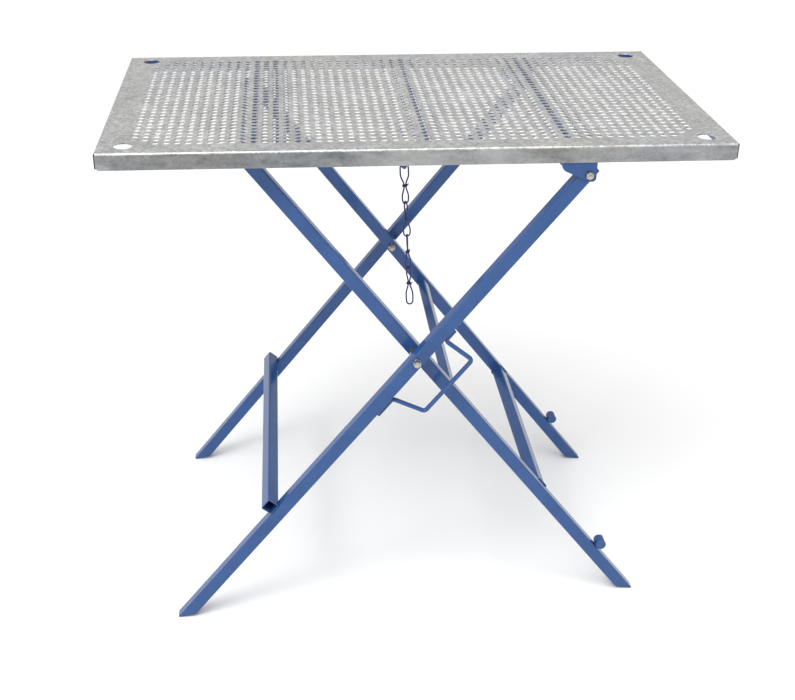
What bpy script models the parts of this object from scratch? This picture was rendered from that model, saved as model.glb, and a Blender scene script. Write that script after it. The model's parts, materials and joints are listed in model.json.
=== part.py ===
"""Folding work table on crossed legs.

A perforated steel tray lies on two leg frames that cross like scissors. The
outer frame carries the tray on two hinge bolts, the inner frame is bolted
inside the outer one at the crossing, and its top bar slides along under the
tray as the legs fold flat.

Metres, +X to the right along the tray, +Y to the back, +Z up. The origin is
on the floor under the middle of the tray.
"""

import math

import bmesh
import bpy
import mathutils

# ---------------------------------------------------------------- dimensions
TRAY_LENGTH = 0.880
TRAY_DEPTH = 0.518
TRAY_TOP = 0.792
SHEET = 0.0015
RIM_HEIGHT = 0.024
CORNER_HOLE_RADIUS = 0.013
CORNER_HOLE_X = 0.403
CORNER_HOLE_Y = 0.2275

TUBE = 0.020
TUBE_WALL = 0.0015
RAIL = 0.015
GAP = 0.0003

LEG_ANGLE = math.radians(51.4)
PIVOT_X = 0.005
PIVOT_Z = 0.461
PIVOT_TO_HINGE = 0.3695
PIVOT_TO_TOP_BAR = 0.3832
FOOT_CUT = 0.0233
LEG_HEAD = 0.0120

OUTER_FACE = 0.2530
INNER_FACE = 0.2160

CROSSBAR_REACH = 0.3350
UPPER_BAR_REACH = 0.0925
UPPER_BAR = 0.015

STUB_REACH = 0.4885
STUB_RADIUS = 0.0085

HANDLE_RADIUS = 0.0035
HANDLE_BEND = 0.006
HANDLE_DROP = 0.067
HANDLE_TOP = 0.0505
HANDLE_BOTTOM = -0.0610
HANDLE_LOWER_FOOT = -0.0715
HANDLE_LOWER_TAIL = -0.1080
HANDLE_UPPER_TAIL = 0.0720

BOLT_RADIUS = 0.0030
BOLT_HOLE_RADIUS = 0.0033
HEX_FLATS = 0.0100
BOLT_HEAD = 0.0053
NUT_HEIGHT = 0.0065
WASHER_RADIUS = 0.0062
WASHER_THICKNESS = 0.0016
SPACER_RADIUS = 0.0080

CHEEK = 0.0030
BRACKET_LEFT = 0.1960
BRACKET_RIGHT = 0.2455
CHEEK_SWEEP = 0.0135
CHEEK_BELOW = 0.0100
CHEEK_HEEL = 0.0055
LEG_CLEARANCE = 0.0012

REST_RAIL_X = -0.2300
GATE_RAIL_X = -0.1880
CENTRE_RAIL_X = 0.0105
HINGE_RAIL_X = 0.2140

CHAIN_X = -0.0180
CHAIN_Y = -0.2245
PEG_Z = 0.7560
CHAIN_LEAN = math.radians(3.5)
LINK_PITCH = 0.0500
LINK_WIRE = 0.0011
EYE_HALF_WIDTH = 0.0048
PEG_EYE_HALF_WIDTH = 0.0058
WAIST_HALF_WIDTH = 0.00125
LINK_TURNS = ((0, 20), (-70, 0), (80, 35), (-55, 0))
END_EYE_EXTRA = 0.0070
KNOT_HEIGHT = 0.0054
KNOT_WALL = 0.0015
TAB_WIDTH = 0.0100
TAB_THICKNESS = 0.0025
TAB_Y = -0.21825
PEG_RADIUS = 0.0033
PEG_TIP_Y = -0.2290

SIN, COS = math.sin(LEG_ANGLE), math.cos(LEG_ANGLE)
HALF_TUBE = TUBE / 2
HALF_RAIL = RAIL / 2
PIVOT_TO_FOOT = (PIVOT_Z + HALF_TUBE * COS) / SIN
THROUGH = 0.4
HINGE_X = PIVOT_X + PIVOT_TO_HINGE * COS
HINGE_Z = PIVOT_Z + PIVOT_TO_HINGE * SIN
SHEET_UNDERSIDE = TRAY_TOP - SHEET
RIM_INSIDE_X = TRAY_LENGTH / 2 - SHEET
RIM_INSIDE_Y = TRAY_DEPTH / 2 - SHEET
RAIL_Z = SHEET_UNDERSIDE - GAP - HALF_RAIL
SIDES = (("front", -1), ("rear", 1))

# ------------------------------------------------------------------ clearing
for leftover in list(bpy.data.objects):
    bpy.data.objects.remove(leftover, do_unlink=True)


# ----------------------------------------------------------------- materials
def paint(name, colour, metallic, roughness):
    """A Principled material of one colour."""
    material = bpy.data.materials.new(name)
    material.use_nodes = True
    shader = material.node_tree.nodes["Principled BSDF"]
    shader.inputs["Base Color"].default_value = (*colour, 1.0)
    shader.inputs["Metallic"].default_value = metallic
    shader.inputs["Roughness"].default_value = roughness
    return material


GALVANISED = paint("galvanised_sheet", (0.52, 0.54, 0.53), 0.85, 0.42)
BLUE = paint("blue_enamel", (0.022, 0.090, 0.330), 0.0, 0.30)
ZINC = paint("zinc_plated_steel", (0.62, 0.60, 0.54), 0.95, 0.32)
CHAIN_BLUE = paint("painted_chain_wire", (0.020, 0.080, 0.290), 0.1, 0.38)


# ------------------------------------------------------------------- placing
def axis_empty(name, location, turn):
    """An empty on a joint axis, turned about Y, that carries one frame's pieces."""
    empty = bpy.data.objects.new(name, None)
    empty.location = location
    empty.rotation_euler = (0.0, turn, 0.0)
    bpy.context.scene.collection.objects.link(empty)
    return empty


def add_piece(name, bm, material, parent):
    """Turn a bmesh into a named object under a joint's empty."""
    bmesh.ops.recalc_face_normals(bm, faces=bm.faces[:])
    mesh = bpy.data.meshes.new(name)
    bm.to_mesh(mesh)
    bm.free()
    mesh.materials.append(material)
    piece = bpy.data.objects.new(name, mesh)
    bpy.context.scene.collection.objects.link(piece)
    piece.parent = parent
    return piece


def smooth(piece):
    """Shade the round faces smooth and keep the hard edges."""
    piece.data.shade_smooth()
    piece.data.set_sharp_from_angle(angle=math.radians(35))
    return piece


def cut(piece, cutter):
    """Take the cutter's shape out of a piece."""
    cutter.hide_render = True
    cutter.display_type = "WIRE"
    modifier = piece.modifiers.new("cut_" + cutter.name, "BOOLEAN")
    modifier.operation = "DIFFERENCE"
    modifier.solver = "EXACT"
    modifier.object = cutter


# -------------------------------------------------------------------- shapes
def bridge(bm, first, second):
    """Join two rings of vertices with a band of quads."""
    count = len(first)
    for i in range(count):
        j = (i + 1) % count
        bm.faces.new((first[i], first[j], second[j], second[i]))


def rounded_square(size, radius, steps=2):
    """Points (y, z) of a square with arcs at its corners."""
    points = []
    inset = size / 2 - radius
    for quarter in range(4):
        middle = math.radians(45 + 90 * quarter)
        cy = math.copysign(inset, math.cos(middle))
        cz = math.copysign(inset, math.sin(middle))
        for step in range(steps + 1):
            angle = math.radians(90 * quarter + 90 * step / steps)
            points.append((cy + radius * math.cos(angle), cz + radius * math.sin(angle)))
    return points


def square_tube(start, end, size, wall, y_mid=0.0, z_mid=0.0, start_cut=0.0, end_cut=0.0):
    """An open-ended square tube along X; a cut slants its end from lower to upper face."""
    bm = bmesh.new()
    rings = []
    for section in (rounded_square(size, 0.0025), rounded_square(size - 2 * wall, 0.0010)):
        for x, slant in ((start, start_cut), (end, end_cut)):
            rings.append([bm.verts.new((x + slant * z / size, y_mid + y, z_mid + z))
                          for y, z in section])
    outer_start, outer_end, inner_start, inner_end = rings
    bridge(bm, outer_start, outer_end)
    bridge(bm, outer_end, inner_end)
    bridge(bm, inner_end, inner_start)
    bridge(bm, inner_start, outer_start)
    return bm


def cross_tube(length, size, wall, x_mid, z_mid):
    """An open-ended square tube that runs across the frame, along Y."""
    bm = square_tube(-length / 2, length / 2, size, wall)
    for vert in bm.verts:
        x, y, z = vert.co
        vert.co = (x_mid + y, x, z_mid + z)
    return bm


def ring_points(radius, sides, hexagonal=False):
    """Points (x, z) of a circle, or of a hexagon whose flats are twice radius apart."""
    points = []
    for i in range(sides):
        angle = 2 * math.pi * i / sides
        reach = radius
        if hexagonal:
            reach = radius / math.cos((angle + math.pi / 6) % (math.pi / 3) - math.pi / 6)
        points.append((reach * math.cos(angle), reach * math.sin(angle)))
    return points


def turned(profile, x_mid=0.0, z_mid=0.0, bore=False, sides=12):
    """A piece turned about Y from (y, radius, hexagonal) steps; a bore closes it on itself."""
    bm = bmesh.new()
    rings = []
    for y, radius, hexagonal in profile:
        rings.append([bm.verts.new((x_mid + x, y, z_mid + z))
                      for x, z in ring_points(radius, sides, hexagonal)])
    for first, second in zip(rings, rings[1:]):
        bridge(bm, first, second)
    if bore:
        bridge(bm, rings[-1], rings[0])
    else:
        bm.faces.new(rings[0])
        bm.faces.new(rings[-1])
    return bm


def bushed(y_start, y_end, radius, hexagonal=False, x_mid=0.0, z_mid=0.0):
    """A washer, nut or sleeve: a short bored piece between two planes across Y."""
    steps = [(y_start, radius, hexagonal), (y_end, radius, hexagonal),
             (y_end, BOLT_HOLE_RADIUS, False), (y_start, BOLT_HOLE_RADIUS, False)]
    return turned(steps, x_mid, z_mid, bore=True)


def bolt(y_head, side, length, x_mid=0.0, z_mid=0.0):
    """A hexagon bolt whose head stands outside y_head and whose shank runs inwards."""
    flats = HEX_FLATS / 2
    top = y_head + side * BOLT_HEAD
    end = y_head - side * length
    steps = [(top, flats * 0.86, False), (top - side * 0.0008, flats, True), (y_head, flats, True),
             (y_head, BOLT_RADIUS, False), (end + side * 0.0008, BOLT_RADIUS, False),
             (end, BOLT_RADIUS - 0.0008, False)]
    return turned(steps, x_mid, z_mid)


def plate(outline, y_start, y_end):
    """A flat plate with an (x, z) outline, between two planes across Y."""
    bm = bmesh.new()
    first = [bm.verts.new((x, y_start, z)) for x, z in outline]
    second = [bm.verts.new((x, y_end, z)) for x, z in outline]
    bridge(bm, first, second)
    bm.faces.new(first)
    bm.faces.new(second)
    return bm


def arc(cx, cz, radius, start, end, steps):
    """Points of an arc in the XZ plane, angles in degrees."""
    points = []
    for i in range(steps + 1):
        angle = math.radians(start + (end - start) * i / steps)
        points.append((cx + radius * math.cos(angle), cz + radius * math.sin(angle)))
    return points


def bent_wire(path, radius, y_mid, sides, closed=False):
    """A round bar swept along (x, z) points that lie in one plane across Y."""
    bm = bmesh.new()
    count = len(path)
    rings = []
    for i, (x, z) in enumerate(path):
        before = path[i - 1] if closed or i > 0 else path[i]
        after = path[(i + 1) % count] if closed or i < count - 1 else path[i]
        dx, dz = after[0] - before[0], after[1] - before[1]
        length = math.hypot(dx, dz)
        nx, nz = -dz / length, dx / length
        ring = []
        for k in range(sides):
            angle = 2 * math.pi * (k + 0.5) / sides
            out, across = radius * math.cos(angle), radius * math.sin(angle)
            ring.append(bm.verts.new((x + out * nx, y_mid + across, z + out * nz)))
        rings.append(ring)
    for first, second in zip(rings, rings[1:]):
        bridge(bm, first, second)
    if closed:
        bridge(bm, rings[-1], rings[0])
    else:
        bm.faces.new(rings[0])
        bm.faces.new(rings[-1])
    return bm


def hole_cutter(name, parent, x, y, z, radius, half_length, axis="Y", sides=12):
    """A round cutter along Y or Z."""
    bm = turned([(-half_length, radius, False), (half_length, radius, False)], sides=sides)
    for vert in bm.verts:
        cx, cy, cz = vert.co
        if axis == "Z":
            vert.co = (x + cx, y + cz, z + cy)
        else:
            vert.co = (x + cx, y + cy, z + cz)
    return add_piece(name, bm, ZINC, parent)


# --------------------------------------------------------------- joint axes
outer_axis = axis_empty("outer_frame_axis", (PIVOT_X, 0.0, PIVOT_Z), -LEG_ANGLE)
inner_axis = axis_empty("inner_frame_axis", (PIVOT_X, 0.0, PIVOT_Z), LEG_ANGLE)
table_axis = axis_empty("table_hinge_axis", (HINGE_X, 0.0, HINGE_Z), 0.0)


# -------------------------------------------------------------- outer frame
def outer_legs():
    """Two legs from the slanted foot, past the pivot, to the hinge in the bracket."""
    y_mid = OUTER_FACE - HALF_TUBE
    pivot_cutter = hole_cutter("cutter_outer_pivot", outer_axis, 0, 0, 0,
                               BOLT_HOLE_RADIUS, THROUGH)
    hinge_cutter = hole_cutter("cutter_outer_hinge", outer_axis, PIVOT_TO_HINGE, 0, 0,
                               BOLT_HOLE_RADIUS, THROUGH)
    for name, side in SIDES:
        bm = square_tube(-PIVOT_TO_FOOT + FOOT_CUT / 2, PIVOT_TO_HINGE + LEG_HEAD, TUBE,
                         TUBE_WALL, y_mid=side * y_mid, start_cut=-FOOT_CUT)
        leg = add_piece(f"outer_leg_{name}", bm, BLUE, outer_axis)
        cut(leg, pivot_cutter)
        cut(leg, hinge_cutter)


def outer_crossbar():
    """A square tube across the upper faces of both outer legs, near the feet."""
    bm = cross_tube(2 * OUTER_FACE, TUBE, TUBE_WALL, -CROSSBAR_REACH, TUBE + GAP)
    add_piece("outer_crossbar", bm, BLUE, outer_axis)


def carrying_handle():
    """A round bar bent into a loop under the front leg, its two tails along the leg."""
    tail = -HALF_TUBE - GAP - HANDLE_RADIUS
    slope = math.degrees(math.atan2(HANDLE_DROP + tail, HANDLE_BOTTOM - HANDLE_LOWER_FOOT))
    lean = 90 - slope
    b = HANDLE_BEND
    path = [(HANDLE_LOWER_TAIL, tail)]
    path += arc(HANDLE_LOWER_FOOT - b, tail - b, b, 90, lean, 4)
    path += arc(HANDLE_BOTTOM + b, -HANDLE_DROP + b, b, 180 + lean, 270, 4)
    path += arc(HANDLE_TOP - b, -HANDLE_DROP + b, b, -90, 0, 4)
    path += arc(HANDLE_TOP + b, tail - b, b, 180, 90, 4)
    path += [(HANDLE_UPPER_TAIL, tail)]
    bm = bent_wire(path, HANDLE_RADIUS, -(OUTER_FACE - HALF_TUBE), 8)
    smooth(add_piece("carrying_handle", bm, BLUE, outer_axis))


def pivot_hardware():
    """At each crossing: bolt, outer washer, sleeve between the legs, inner washer and nut."""
    inner_side = INNER_FACE - TUBE
    for name, side in SIDES:
        seat = OUTER_FACE + GAP
        head = seat + WASHER_THICKNESS + GAP
        washer = bushed(side * seat, side * (seat + WASHER_THICKNESS), WASHER_RADIUS)
        smooth(add_piece(f"pivot_washer_outer_{name}", washer, ZINC, outer_axis))
        sleeve = bushed(side * (INNER_FACE + GAP), side * (OUTER_FACE - TUBE - GAP), SPACER_RADIUS)
        smooth(add_piece(f"pivot_spacer_{name}", sleeve, ZINC, outer_axis))
        washer = bushed(side * (inner_side - GAP - WASHER_THICKNESS), side * (inner_side - GAP),
                        WASHER_RADIUS)
        smooth(add_piece(f"pivot_washer_inner_{name}", washer, ZINC, outer_axis))
        nut_seat = inner_side - 2 * GAP - WASHER_THICKNESS
        nut = bushed(side * (nut_seat - NUT_HEIGHT), side * nut_seat, HEX_FLATS / 2, True)
        add_piece(f"pivot_nut_{name}", nut, ZINC, outer_axis)
        length = head - (nut_seat - NUT_HEIGHT) + 0.003
        add_piece(f"pivot_bolt_{name}", bolt(side * head, side, length), ZINC, outer_axis)


# -------------------------------------------------------------- inner frame
def inner_legs():
    """Two legs from the top bar, past the pivot, to the slanted foot."""
    y_mid = INNER_FACE - HALF_TUBE
    pivot_cutter = hole_cutter("cutter_inner_pivot", inner_axis, 0, 0, 0,
                               BOLT_HOLE_RADIUS, THROUGH)
    for name, side in SIDES:
        bm = square_tube(-PIVOT_TO_TOP_BAR - HALF_TUBE, PIVOT_TO_FOOT - FOOT_CUT / 2, TUBE,
                         TUBE_WALL, y_mid=side * y_mid, end_cut=FOOT_CUT)
        leg = add_piece(f"inner_leg_{name}", bm, BLUE, inner_axis)
        cut(leg, pivot_cutter)


def inner_crossbars():
    """Three tubes between the inner legs: under the tray, below the pivot, near the feet."""
    length = 2 * (INNER_FACE - TUBE - GAP)
    for name, size, reach in (("inner_top_bar", TUBE, -PIVOT_TO_TOP_BAR),
                              ("inner_upper_crossbar", UPPER_BAR, UPPER_BAR_REACH),
                              ("inner_lower_crossbar", TUBE, CROSSBAR_REACH)):
        bm = cross_tube(length, size, TUBE_WALL, reach, 0.0)
        add_piece(name, bm, BLUE, inner_axis)


def foot_stubs():
    """Short round bars welded across the upper faces of the inner legs near the feet."""
    for name, side in SIDES:
        ends = (side * (INNER_FACE - TUBE), side * INNER_FACE)
        chamfer = 0.001
        steps = [(ends[0], STUB_RADIUS - chamfer, False),
                 (ends[0] + side * chamfer, STUB_RADIUS, False),
                 (ends[1] - side * chamfer, STUB_RADIUS, False),
                 (ends[1], STUB_RADIUS - chamfer, False)]
        bm = turned(steps, STUB_REACH, HALF_TUBE + GAP + STUB_RADIUS, sides=16)
        smooth(add_piece(f"foot_stub_{name}", bm, BLUE, inner_axis))


# --------------------------------------------------------------------- tray
def on_table(x, z):
    """World X and Z as seen from the hinge axis."""
    return x - HINGE_X, z - HINGE_Z


def tray_top():
    """A sheet with a rim folded down all round and one round hole near each corner."""
    bm = bmesh.new()
    rings = []
    for half_x, half_y, z in ((TRAY_LENGTH / 2, TRAY_DEPTH / 2, TRAY_TOP),
                              (TRAY_LENGTH / 2, TRAY_DEPTH / 2, TRAY_TOP - RIM_HEIGHT),
                              (RIM_INSIDE_X, RIM_INSIDE_Y, TRAY_TOP - RIM_HEIGHT),
                              (RIM_INSIDE_X, RIM_INSIDE_Y, SHEET_UNDERSIDE)):
        corners = ((-half_x, -half_y), (half_x, -half_y), (half_x, half_y), (-half_x, half_y))
        rings.append([bm.verts.new((x - HINGE_X, y, z - HINGE_Z)) for x, y in corners])
    for first, second in zip(rings, rings[1:]):
        bridge(bm, first, second)
    bm.faces.new(rings[0])
    bm.faces.new(rings[-1])
    tray = add_piece("tray_top", bm, GALVANISED, table_axis)
    x_near, z_top = on_table(0.0, TRAY_TOP)
    for end, ex in (("left", -1), ("right", 1)):
        for name, side in SIDES:
            cutter = hole_cutter(f"cutter_corner_{end}_{name}", table_axis,
                                 x_near + ex * CORNER_HOLE_X, side * CORNER_HOLE_Y, z_top,
                                 CORNER_HOLE_RADIUS, RAIL / 2, axis="Z", sides=24)
            cut(tray, cutter)


def long_rail(name, side):
    """A square tube along the inside of the front or rear rim."""
    half = RIM_INSIDE_X - GAP
    x_mid, z_mid = on_table(0.0, RAIL_Z)
    bm = square_tube(x_mid - half, x_mid + half, RAIL, TUBE_WALL,
                     y_mid=side * (RIM_INSIDE_Y - GAP - HALF_RAIL), z_mid=z_mid)
    add_piece(name, bm, BLUE, table_axis)


def short_rail(name, x):
    """A square tube across the tray between the two long rails."""
    x_mid, z_mid = on_table(x, RAIL_Z)
    length = 2 * (RIM_INSIDE_Y - RAIL - 2 * GAP)
    add_piece(name, cross_tube(length, RAIL, TUBE_WALL, x_mid, z_mid), BLUE, table_axis)


def under_frame():
    """The painted frame that stiffens the tray."""
    long_rail("tray_rail_front", -1)
    long_rail("tray_rail_rear", 1)
    end_x = RIM_INSIDE_X - GAP - HALF_RAIL
    for name, x in (("tray_rail_left", -end_x), ("tray_rail_right", end_x),
                    ("rest_rail", REST_RAIL_X), ("gate_rail", GATE_RAIL_X),
                    ("centre_rail", CENTRE_RAIL_X), ("hinge_rail", HINGE_RAIL_X)):
        short_rail(name, x)


def cheek_outline(web_top):
    """The side of a hinge bracket: swept in to the leg, then round below and behind the bolt."""
    left, right = BRACKET_LEFT, BRACKET_RIGHT
    bottom = HINGE_Z - CHEEK_BELOW
    points = [(left, web_top)]
    points += arc(left + CHEEK_SWEEP, web_top - 0.0085, CHEEK_SWEEP, 180, 235, 4)
    points += arc(HINGE_X, bottom + CHEEK_HEEL, CHEEK_HEEL, 225, 270, 2)
    points += arc(right - CHEEK_HEEL, bottom + CHEEK_HEEL, CHEEK_HEEL, 270, 360, 4)
    points += [(right, web_top)]
    return [on_table(x, z) for x, z in points]


def hinge_brackets():
    """Folded plates welded under the long rails; each holds one outer leg between its cheeks."""
    web_top = RAIL_Z - HALF_RAIL - GAP
    outer = RIM_INSIDE_Y - GAP
    inner = OUTER_FACE - TUBE - LEG_CLEARANCE - CHEEK
    hinge_hole = hole_cutter("cutter_bracket", table_axis, 0, 0, 0, BOLT_HOLE_RADIUS, THROUGH)
    for name, side in SIDES:
        bm = plate(cheek_outline(web_top), side * inner, side * outer)
        bracket = add_piece(f"hinge_bracket_{name}", bm, BLUE, table_axis)
        slot_y = (side * (inner + CHEEK), side * (outer - CHEEK))
        floor = web_top - CHEEK - HINGE_Z
        reach = TRAY_DEPTH / 4
        slot = plate([(-reach, -reach), (reach, -reach), (reach, floor), (-reach, floor)], *slot_y)
        cut(bracket, add_piece(f"cutter_slot_{name}", slot, ZINC, table_axis))
        cut(bracket, hinge_hole)
        head = outer + GAP
        nut_seat = inner - GAP
        length = head - (nut_seat - NUT_HEIGHT) + 0.0025
        add_piece(f"hinge_bolt_{name}", bolt(side * head, side, length), ZINC, table_axis)
        nut = bushed(side * (nut_seat - NUT_HEIGHT), side * nut_seat, HEX_FLATS / 2, True)
        add_piece(f"hinge_nut_{name}", nut, ZINC, table_axis)


# -------------------------------------------------------------------- chain
def chain_tab():
    """A tab that hangs under the sheet behind the front rim, and the peg that holds the chain."""
    half = TAB_WIDTH / 2
    x_mid, peg_z = on_table(CHAIN_X, PEG_Z)
    top = on_table(0.0, SHEET_UNDERSIDE - GAP)[1]
    outline = [(x_mid + half, top), (x_mid - half, top)]
    outline += arc(x_mid, peg_z, half, 180, 360, 8)
    tab = plate(outline, TAB_Y - TAB_THICKNESS / 2, TAB_Y + TAB_THICKNESS / 2)
    add_piece("chain_tab", tab, BLUE, table_axis)
    root = TAB_Y - TAB_THICKNESS / 2 - GAP
    peg = turned([(root, PEG_RADIUS, False), (PEG_TIP_Y + 0.0006, PEG_RADIUS, False),
                  (PEG_TIP_Y, PEG_RADIUS - 0.0006, False)], x_mid, peg_z, sides=16)
    smooth(add_piece("chain_peg", peg, BLUE, table_axis))


def link_path(above, below, top_width, turns, steps):
    """A closed wire: two eyes drawn in to a waist, the lower eye turned from the upper one.
    The path starts at the top and goes down one side and up the other; z is 0 at the knot."""
    upper, lower = (math.radians(turn) for turn in turns)
    path = []
    for side in (1, -1):
        for i in range(steps):
            t = math.pi * (i + (0 if side > 0 else steps)) / steps
            share = math.cos(t)
            length, width = (above, top_width) if share > 0 else (below, EYE_HALF_WIDTH)
            round_end = math.sqrt(max(0.0, 1 - abs(share) ** (2 * length / width)))
            swell = math.sin(min(1.0, abs(share) * length / 0.017) * math.pi / 2) ** 2
            reach = (WAIST_HALF_WIDTH + (width - WAIST_HALF_WIDTH) * swell) * round_end
            z = share * length
            mix = 0.5 - 0.5 * max(-1.0, min(1.0, z / (KNOT_HEIGHT / 2)))
            turn = upper + (lower - upper) * mix
            path.append((side * reach * math.cos(turn), side * reach * math.sin(turn), z, turn))
    return path


def wire_ring(bm, before, here, after, radius, sides):
    """A ring of the wire's section, square to the path, laid out from the eye's own plane."""
    way = mathutils.Vector(after[:3]) - mathutils.Vector(before[:3])
    way.normalize()
    face = mathutils.Vector((-math.sin(here[3]), math.cos(here[3]), 0.0))
    normal = way.cross(face).normalized()
    across = normal.cross(way)
    ring = []
    for k in range(sides):
        angle = 2 * math.pi * (k + 0.5) / sides
        point = (mathutils.Vector(here[:3]) + normal * (radius * math.cos(angle))
                 + across * (radius * math.sin(angle)))
        ring.append(bm.verts.new(point))
    return ring


def hung(bm, knot_drop):
    """Drops a piece drawn about its knot to hang from the axis above it, on the chain's lean."""
    for vert in bm.verts:
        x, y, z = vert.co
        z -= knot_drop
        vert.co = (x * math.cos(CHAIN_LEAN) - z * math.sin(CHAIN_LEAN), y,
                   x * math.sin(CHAIN_LEAN) + z * math.cos(CHAIN_LEAN))
    return bm


def chain_link(index, drop, rise, above, below, top_width, turns):
    """One wire link with two eyes, and the knot of wire wound round its waist."""
    place = (CHAIN_X + drop * math.sin(CHAIN_LEAN), CHAIN_Y,
             PEG_Z - drop * math.cos(CHAIN_LEAN))
    axis = axis_empty(f"chain_axis_{index}", place, 0.0)
    path = link_path(above, below, top_width, turns, 28)
    bm = bmesh.new()
    rings = [wire_ring(bm, path[i - 1], path[i], path[(i + 1) % len(path)], LINK_WIRE, 6)
             for i in range(len(path))]
    for first, second in zip(rings, rings[1:] + rings[:1]):
        bridge(bm, first, second)
    smooth(add_piece(f"chain_link_{index}", hung(bm, rise), CHAIN_BLUE, axis))

    bore = WAIST_HALF_WIDTH + LINK_WIRE + GAP
    half = KNOT_HEIGHT / 2
    knot = turned([(-half, bore, False), (-half, bore + KNOT_WALL, False),
                   (half, bore + KNOT_WALL, False), (half, bore, False)], bore=True)
    for vert in knot.verts:
        x, y, z = vert.co
        vert.co = (x, -z, y)
    smooth(add_piece(f"chain_knot_{index}", hung(knot, rise), CHAIN_BLUE, axis))


def chain():
    """Knotted links. The first swings on the peg's axis, each of the others on its top wire,
    hooked through the eye above; the end eyes are a little longer."""
    half = LINK_PITCH / 2 + LINK_WIRE + GAP / 2
    drop = 0.0
    for index, turns in enumerate(LINK_TURNS):
        above = half + (END_EYE_EXTRA if index == 0 else 0.0)
        below = half + (END_EYE_EXTRA if index == len(LINK_TURNS) - 1 else 0.0)
        rise = above - (LINK_WIRE + GAP + PEG_RADIUS if index == 0 else 0.0)
        width = PEG_EYE_HALF_WIDTH if index == 0 else EYE_HALF_WIDTH
        chain_link(index + 1, drop, rise, above, below, width, turns)
        drop += rise + below - 2 * LINK_WIRE - GAP


outer_legs()
outer_crossbar()
carrying_handle()
pivot_hardware()
inner_legs()
inner_crossbars()
foot_stubs()
tray_top()
under_frame()
hinge_brackets()
chain_tab()
chain()
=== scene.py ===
import json
import math

import bpy
import numpy as np
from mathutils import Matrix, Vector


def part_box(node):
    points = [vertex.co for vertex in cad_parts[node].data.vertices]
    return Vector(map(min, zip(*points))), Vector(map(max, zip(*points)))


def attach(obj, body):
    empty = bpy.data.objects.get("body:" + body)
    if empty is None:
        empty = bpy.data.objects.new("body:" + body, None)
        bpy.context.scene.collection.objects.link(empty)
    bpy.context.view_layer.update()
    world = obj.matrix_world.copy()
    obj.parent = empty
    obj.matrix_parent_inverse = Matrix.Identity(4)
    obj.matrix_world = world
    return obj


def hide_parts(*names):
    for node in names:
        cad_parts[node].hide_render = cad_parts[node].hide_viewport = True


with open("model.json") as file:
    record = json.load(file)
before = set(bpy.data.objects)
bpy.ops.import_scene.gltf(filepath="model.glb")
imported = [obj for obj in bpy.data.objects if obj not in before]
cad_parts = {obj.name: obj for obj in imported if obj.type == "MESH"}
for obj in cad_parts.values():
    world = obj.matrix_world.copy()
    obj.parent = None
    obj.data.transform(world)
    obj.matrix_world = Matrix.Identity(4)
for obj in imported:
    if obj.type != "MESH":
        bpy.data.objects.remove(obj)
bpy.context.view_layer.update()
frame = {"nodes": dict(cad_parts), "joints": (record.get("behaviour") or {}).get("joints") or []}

# A folding work table: a perforated galvanised tray on two crossed frames of blue
# square tube. Lengths are in metres: X along the tray, Y to the back, Z up.

AXES = {joint["name"]: np.array(joint["pos_m"]) for joint in frame["joints"]}
PIVOT, HINGE = AXES["leg_pivot"], AXES["table_hinge"]
LEG_TURN = math.atan2(HINGE[2] - PIVOT[2], HINGE[0] - PIVOT[0])
SIDES = (("front", -1), ("rear", 1))

ACROSS, UPWARDS = np.array([0.0, 1.0, 0.0]), np.array([0.0, 0.0, 1.0])

TUBE, TUBE_WALL, TUBE_ROUND = 0.020, 0.0015, 0.0026
RAIL, UPPER_BAR = 0.015, 0.015
LEG_HEAD = 0.0120
FOOT_CUT = 0.0233
PIVOT_TO_HINGE = math.hypot(HINGE[2] - PIVOT[2], HINGE[0] - PIVOT[0])
PIVOT_TO_TOP_BAR = 0.3832
PIVOT_TO_FOOT = (PIVOT[2] + TUBE / 2 * math.cos(LEG_TURN)) / math.sin(LEG_TURN)
CROSSBAR_REACH, UPPER_BAR_REACH, STUB_REACH = 0.3350, 0.0925, 0.4885
STUB_RADIUS = 0.0085
FIT_GAP = 0.0003
SCALLOP, SCALLOP_PITCH = 0.14, 0.0016

SHEET, BEND = 0.0015, 0.0030
RIM_BELOW, TOP_ABOVE = 0.7885, 0.7900
PITCH, HOLE_RADIUS, COLUMNS, ROWS = 0.015, 0.005, 53, 30
CORNER_HOLE_RADIUS, CORNER_HOLE_X, CORNER_HOLE_Y = 0.013, 0.403, 0.2275

HEX_FLATS, BOLT_RADIUS, BOLT_HEAD, NUT_HEIGHT = 0.0100, 0.0030, 0.0053, 0.0065
HEX_FACE = 0.465 * HEX_FLATS
BORE, THREAD_PITCH, THREAD_DEPTH, THREAD_LENGTH = 0.0033, 0.00100, 0.00035, 0.016

HANDLE_RADIUS, HANDLE_BEND, HANDLE_DROP = 0.0035, 0.006, 0.067
HANDLE_TOP, HANDLE_BOTTOM, HANDLE_LOWER_FOOT = 0.0505, -0.0610, -0.0715
HANDLE_TAILS = (-0.1080, 0.0720)

LINK_PITCH, LINK_WIRE, END_EYE_EXTRA = 0.0500, 0.0011, 0.0070
EYE_HALF_WIDTH, PEG_EYE_HALF_WIDTH, WAIST_HALF_WIDTH = 0.0048, 0.0058, 0.00125
SWELL_LENGTH, KNOT_HEIGHT, PEG_RADIUS = 0.017, 0.0054, 0.0033
LINK_TURNS = ((0, 20), (-70, 0), (80, 35), (-55, 0))


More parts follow.
